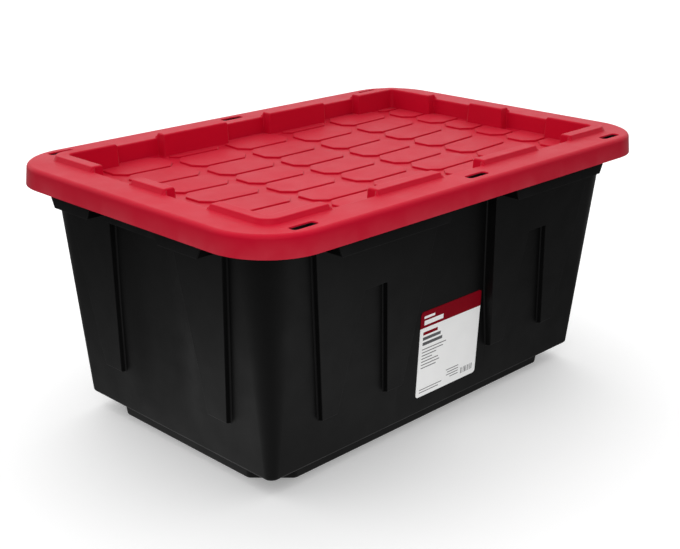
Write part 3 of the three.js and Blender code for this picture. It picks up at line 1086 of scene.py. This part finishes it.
TUB_PLASTIC = moulded_plastic(
    "tub_plastic",
    base=(0.0025, 0.0025, 0.0026), pale=(0.016, 0.016, 0.017), dark=(0.0020, 0.0020, 0.0020),
    rough=0.42, grain=0.22, worn=0.8, gloss=0.135, bloom=0.0,
)
LID_PLASTIC = moulded_plastic(
    "lid_plastic",
    base=(0.570, 0.0010, 0.0230), pale=(0.650, 0.080, 0.105), dark=(0.530, 0.0008, 0.0205),
    rough=0.50, grain=0.20, worn=0.6, gloss=0.12, bloom=0.10,
)
LABEL_FILM = printed("label_film", (0.93, 0.93, 0.925), (0.90, 0.90, 0.895), 0.42)
LABEL_HEADER = printed("label_header", (0.225, 0.0015, 0.0085), (0.200, 0.0015, 0.0075), 0.45)
LABEL_INK = printed("label_ink", (0.10, 0.10, 0.105), (0.13, 0.13, 0.135), 0.5)


def paint(made, *materials):
    """Gives a piece its materials, in the order of its faces' marks."""
    marks = [face.material_index for face in made.data.polygons]
    made.data.materials.clear()
    for material in materials:
        made.data.materials.append(material)
    last = len(materials) - 1
    made.data.polygons.foreach_set("material_index", [min(mark, last) for mark in marks])


# ---- pieces

lid = lid_shell().make("lid_moulding")
united(lid, pad_shells().make("pads"))
sagged(lid)
smooth_faces(lid)
paint(lid, LID_PLASTIC)
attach(lid, "lid")
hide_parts("lid")

tub = tub_shell().make("tub_moulding")
united(tub, rim_extras().make("webs"))
smooth_faces(tub)
paint(tub, TUB_PLASTIC)
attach(tub, "tub")
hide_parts("tub")

label = label_shell().make("label_sheet")
smooth_faces(label)
paint(label, LABEL_FILM, LABEL_HEADER, LABEL_INK)
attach(label, "tub")
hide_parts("label")

# ---- floor, light and camera
# Places and distances are in metres from here on, apart from the floor's own size.

LIT_PIECES = bpy.data.collections.new("lit_pieces")
for piece in (lid, tub, label):
    LIT_PIECES.objects.link(piece)

FLOOR_HALF = 40000.0  # in millimetres
FLOOR_TONES = (0.93, 0.93, 0.93), (0.91, 0.91, 0.91)
FLOOR_UNSEEN = (0.05, 0.05, 0.05)  # its colour for light on its way round the scene
FLOOR_LIFT = 0.26  # glow that only the camera sees, which keeps the floor's shadow pale
# The floor lights the tote from below like a light table, in patches beside each wall and before the
# near corner: (centre, strength).
GLOWS = (
    ((-0.48, -0.06, 0.0), 1.05),
    ((-0.15, -0.55, 0.0), 1.25),
    ((-1.05, -0.90, 0.0), 0.60),
    ((1.00, 0.10, 0.0), 0.80),
    ((0.15, 0.85, 0.0), 0.80),
)
GLOW_REACH = 0.30  # distance at which a patch has fallen to 37% of its strength

UP = (0.0, 0.0, 1.0)
WORLD_AXIS = (0.45, 0.89, 0.0)  # level, and roughly away from the camera
WORLD_SPAN = (-0.5, 0.8)  # where along that axis the surround is at its dimmest and its brightest
WORLD_FRONT, WORLD_BACK, WORLD_OVERHEAD, WORLD_SEEN = 0.03, 0.85, 1.0, 1.0

# Lamps: name, place, target, size, power in watts, and whether it shows as a sheen.
SOFTBOXES = (
    ("side_left", (-2.2, -1.0, 0.9), (-0.3, -0.1, 0.2), (1.2, 1.0), 1.5, False),
    ("low_front", (-0.95, -0.85, 0.12), (-0.33, -0.2, 0.02), (0.5, 0.2), 0.8, False),
    ("label_strip", (0.0, -0.50, 0.02), (0.01, -0.2, 0.08), (0.3, 0.04), 0.20, False),
    ("over_corner", (-0.55, -0.40, 1.15), (-0.30, -0.18, 0.36), (0.5, 0.5), 0.8, False),
    ("front_high", (-1.10, -1.10, 1.00), (-0.25, -0.15, 0.34), (0.7, 0.5), 4.0, True),
)

# Camera: its turn from +Y towards +X, its tilt down, and its distance from the point it aims at,
# which lies AIM_OFFSET from the middle of the tote.
TURN, TILT = math.radians(44.62), math.radians(19.884)
DISTANCE = 1.7214
AIM_OFFSET = Vector((-0.0374, 0.0267, -0.0213))
LENS, SENSOR_WIDTH = 62.77, 36.0
LENS_SHIFT = (0.0437, 0.00615)


def glow_patch(tree, centre, strength):
    """Strength of a patch of glowing floor, which dies away from its centre."""
    away = tree.measured("DISTANCE", tree.coords["Object"], centre)
    fallen = tree.maths("MULTIPLY", away, -1.0 / GLOW_REACH)
    return tree.maths("MULTIPLY", tree.maths("EXPONENT", fallen), strength)


def studio_floor():
    """A level pale floor that runs on far past the object, so that no edge of it shows."""
    shell = Shell()
    corners = box_loop((-FLOOR_HALF, -FLOOR_HALF, FLOOR_HALF, FLOOR_HALF))
    shell.face(shell.add([(x, y, 0.0) for x, y in corners]))
    made = shell.make("studio_floor")
    material = bpy.data.materials.new("floor_paint")
    tree = Tree(material)
    tone = tree.mixed(tree.noise(3.0, 2.0), *FLOOR_TONES)
    glow = 0.0
    for centre, strength in GLOWS:
        glow = tree.maths("MAXIMUM", glow, glow_patch(tree, centre, strength))
    unseen = tree.maths("MULTIPLY", glow, tree.camera_only(0.0, 1.0))
    tree.surface(
        Base_Color=tree.mixed(tree.camera_only(1.0, 0.0), FLOOR_UNSEEN, tone),
        Emission_Color=WHITE,
        Emission_Strength=tree.maths("ADD", unseen, tree.camera_only(FLOOR_LIFT, 0.0)),
        Roughness=0.8, Specular_IOR_Level=0.1,
    )
    paint(made, material)
    made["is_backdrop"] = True


def softbox(name, place, target, size, power, glossy):
    """A rectangular lamp that lights only the tote and isn't seen itself."""
    lamp = bpy.data.lights.new(name, "AREA")
    lamp.shape = "RECTANGLE"
    lamp.size, lamp.size_y = size
    lamp.energy = power
    made = bpy.data.objects.new(name, lamp)
    made.location = place
    made.rotation_euler = (Vector(target) - Vector(place)).to_track_quat("-Z", "Y").to_euler()
    made.visible_camera = False
    made.visible_glossy = glossy
    made.light_linking.receiver_collection = LIT_PIECES
    bpy.context.scene.collection.objects.link(made)


def studio_world():
    """A plain surround: white to the camera, and to light dim in front and brighter behind and above."""
    world = bpy.data.worlds.new("studio")
    tree = Tree(world, "BACKGROUND")
    view = tree.coords["Generated"]
    along, up = (tree.measured("DOT_PRODUCT", view, axis) for axis in (WORLD_AXIS, UP))
    side = tree.mapped(along, WORLD_FRONT, WORLD_BACK, WORLD_SPAN)
    above = tree.mapped(up, 0.0, WORLD_OVERHEAD, (0.0, 1.0))
    choice = tree.nodes.new("ShaderNodeMix")
    tree.feed(choice.inputs["Factor"], tree.camera_only(1.0, 0.0))
    tree.feed(choice.inputs["A"], tree.maths("ADD", side, above))
    tree.feed(choice.inputs["B"], WORLD_SEEN)
    tree.surface(Color=WHITE, Strength=choice.outputs["Result"])
    bpy.context.scene.world = world


def photo_camera():
    """The camera at the photo's angle."""
    lens = bpy.data.cameras.new("camera")
    lens.lens, lens.sensor_width = LENS, SENSOR_WIDTH
    lens.shift_x, lens.shift_y = LENS_SHIFT
    made = bpy.data.objects.new("camera", lens)
    level = math.cos(TILT)
    ahead = Vector((math.sin(TURN) * level, math.cos(TURN) * level, -math.sin(TILT)))
    middle = Vector((0.0, 0.0, LID_HIGH.z * MM / 2))
    made.location = middle + AIM_OFFSET - ahead * DISTANCE
    made.rotation_euler = (math.pi / 2 - TILT, 0.0, -TURN)
    bpy.context.scene.collection.objects.link(made)
    bpy.context.scene.camera = made


studio_floor()
studio_world()
for lamp_row in SOFTBOXES:
    softbox(*lamp_row)
photo_camera()
bpy.context.scene.view_settings.view_transform = "Standard"

save_size("visual", SIZES)
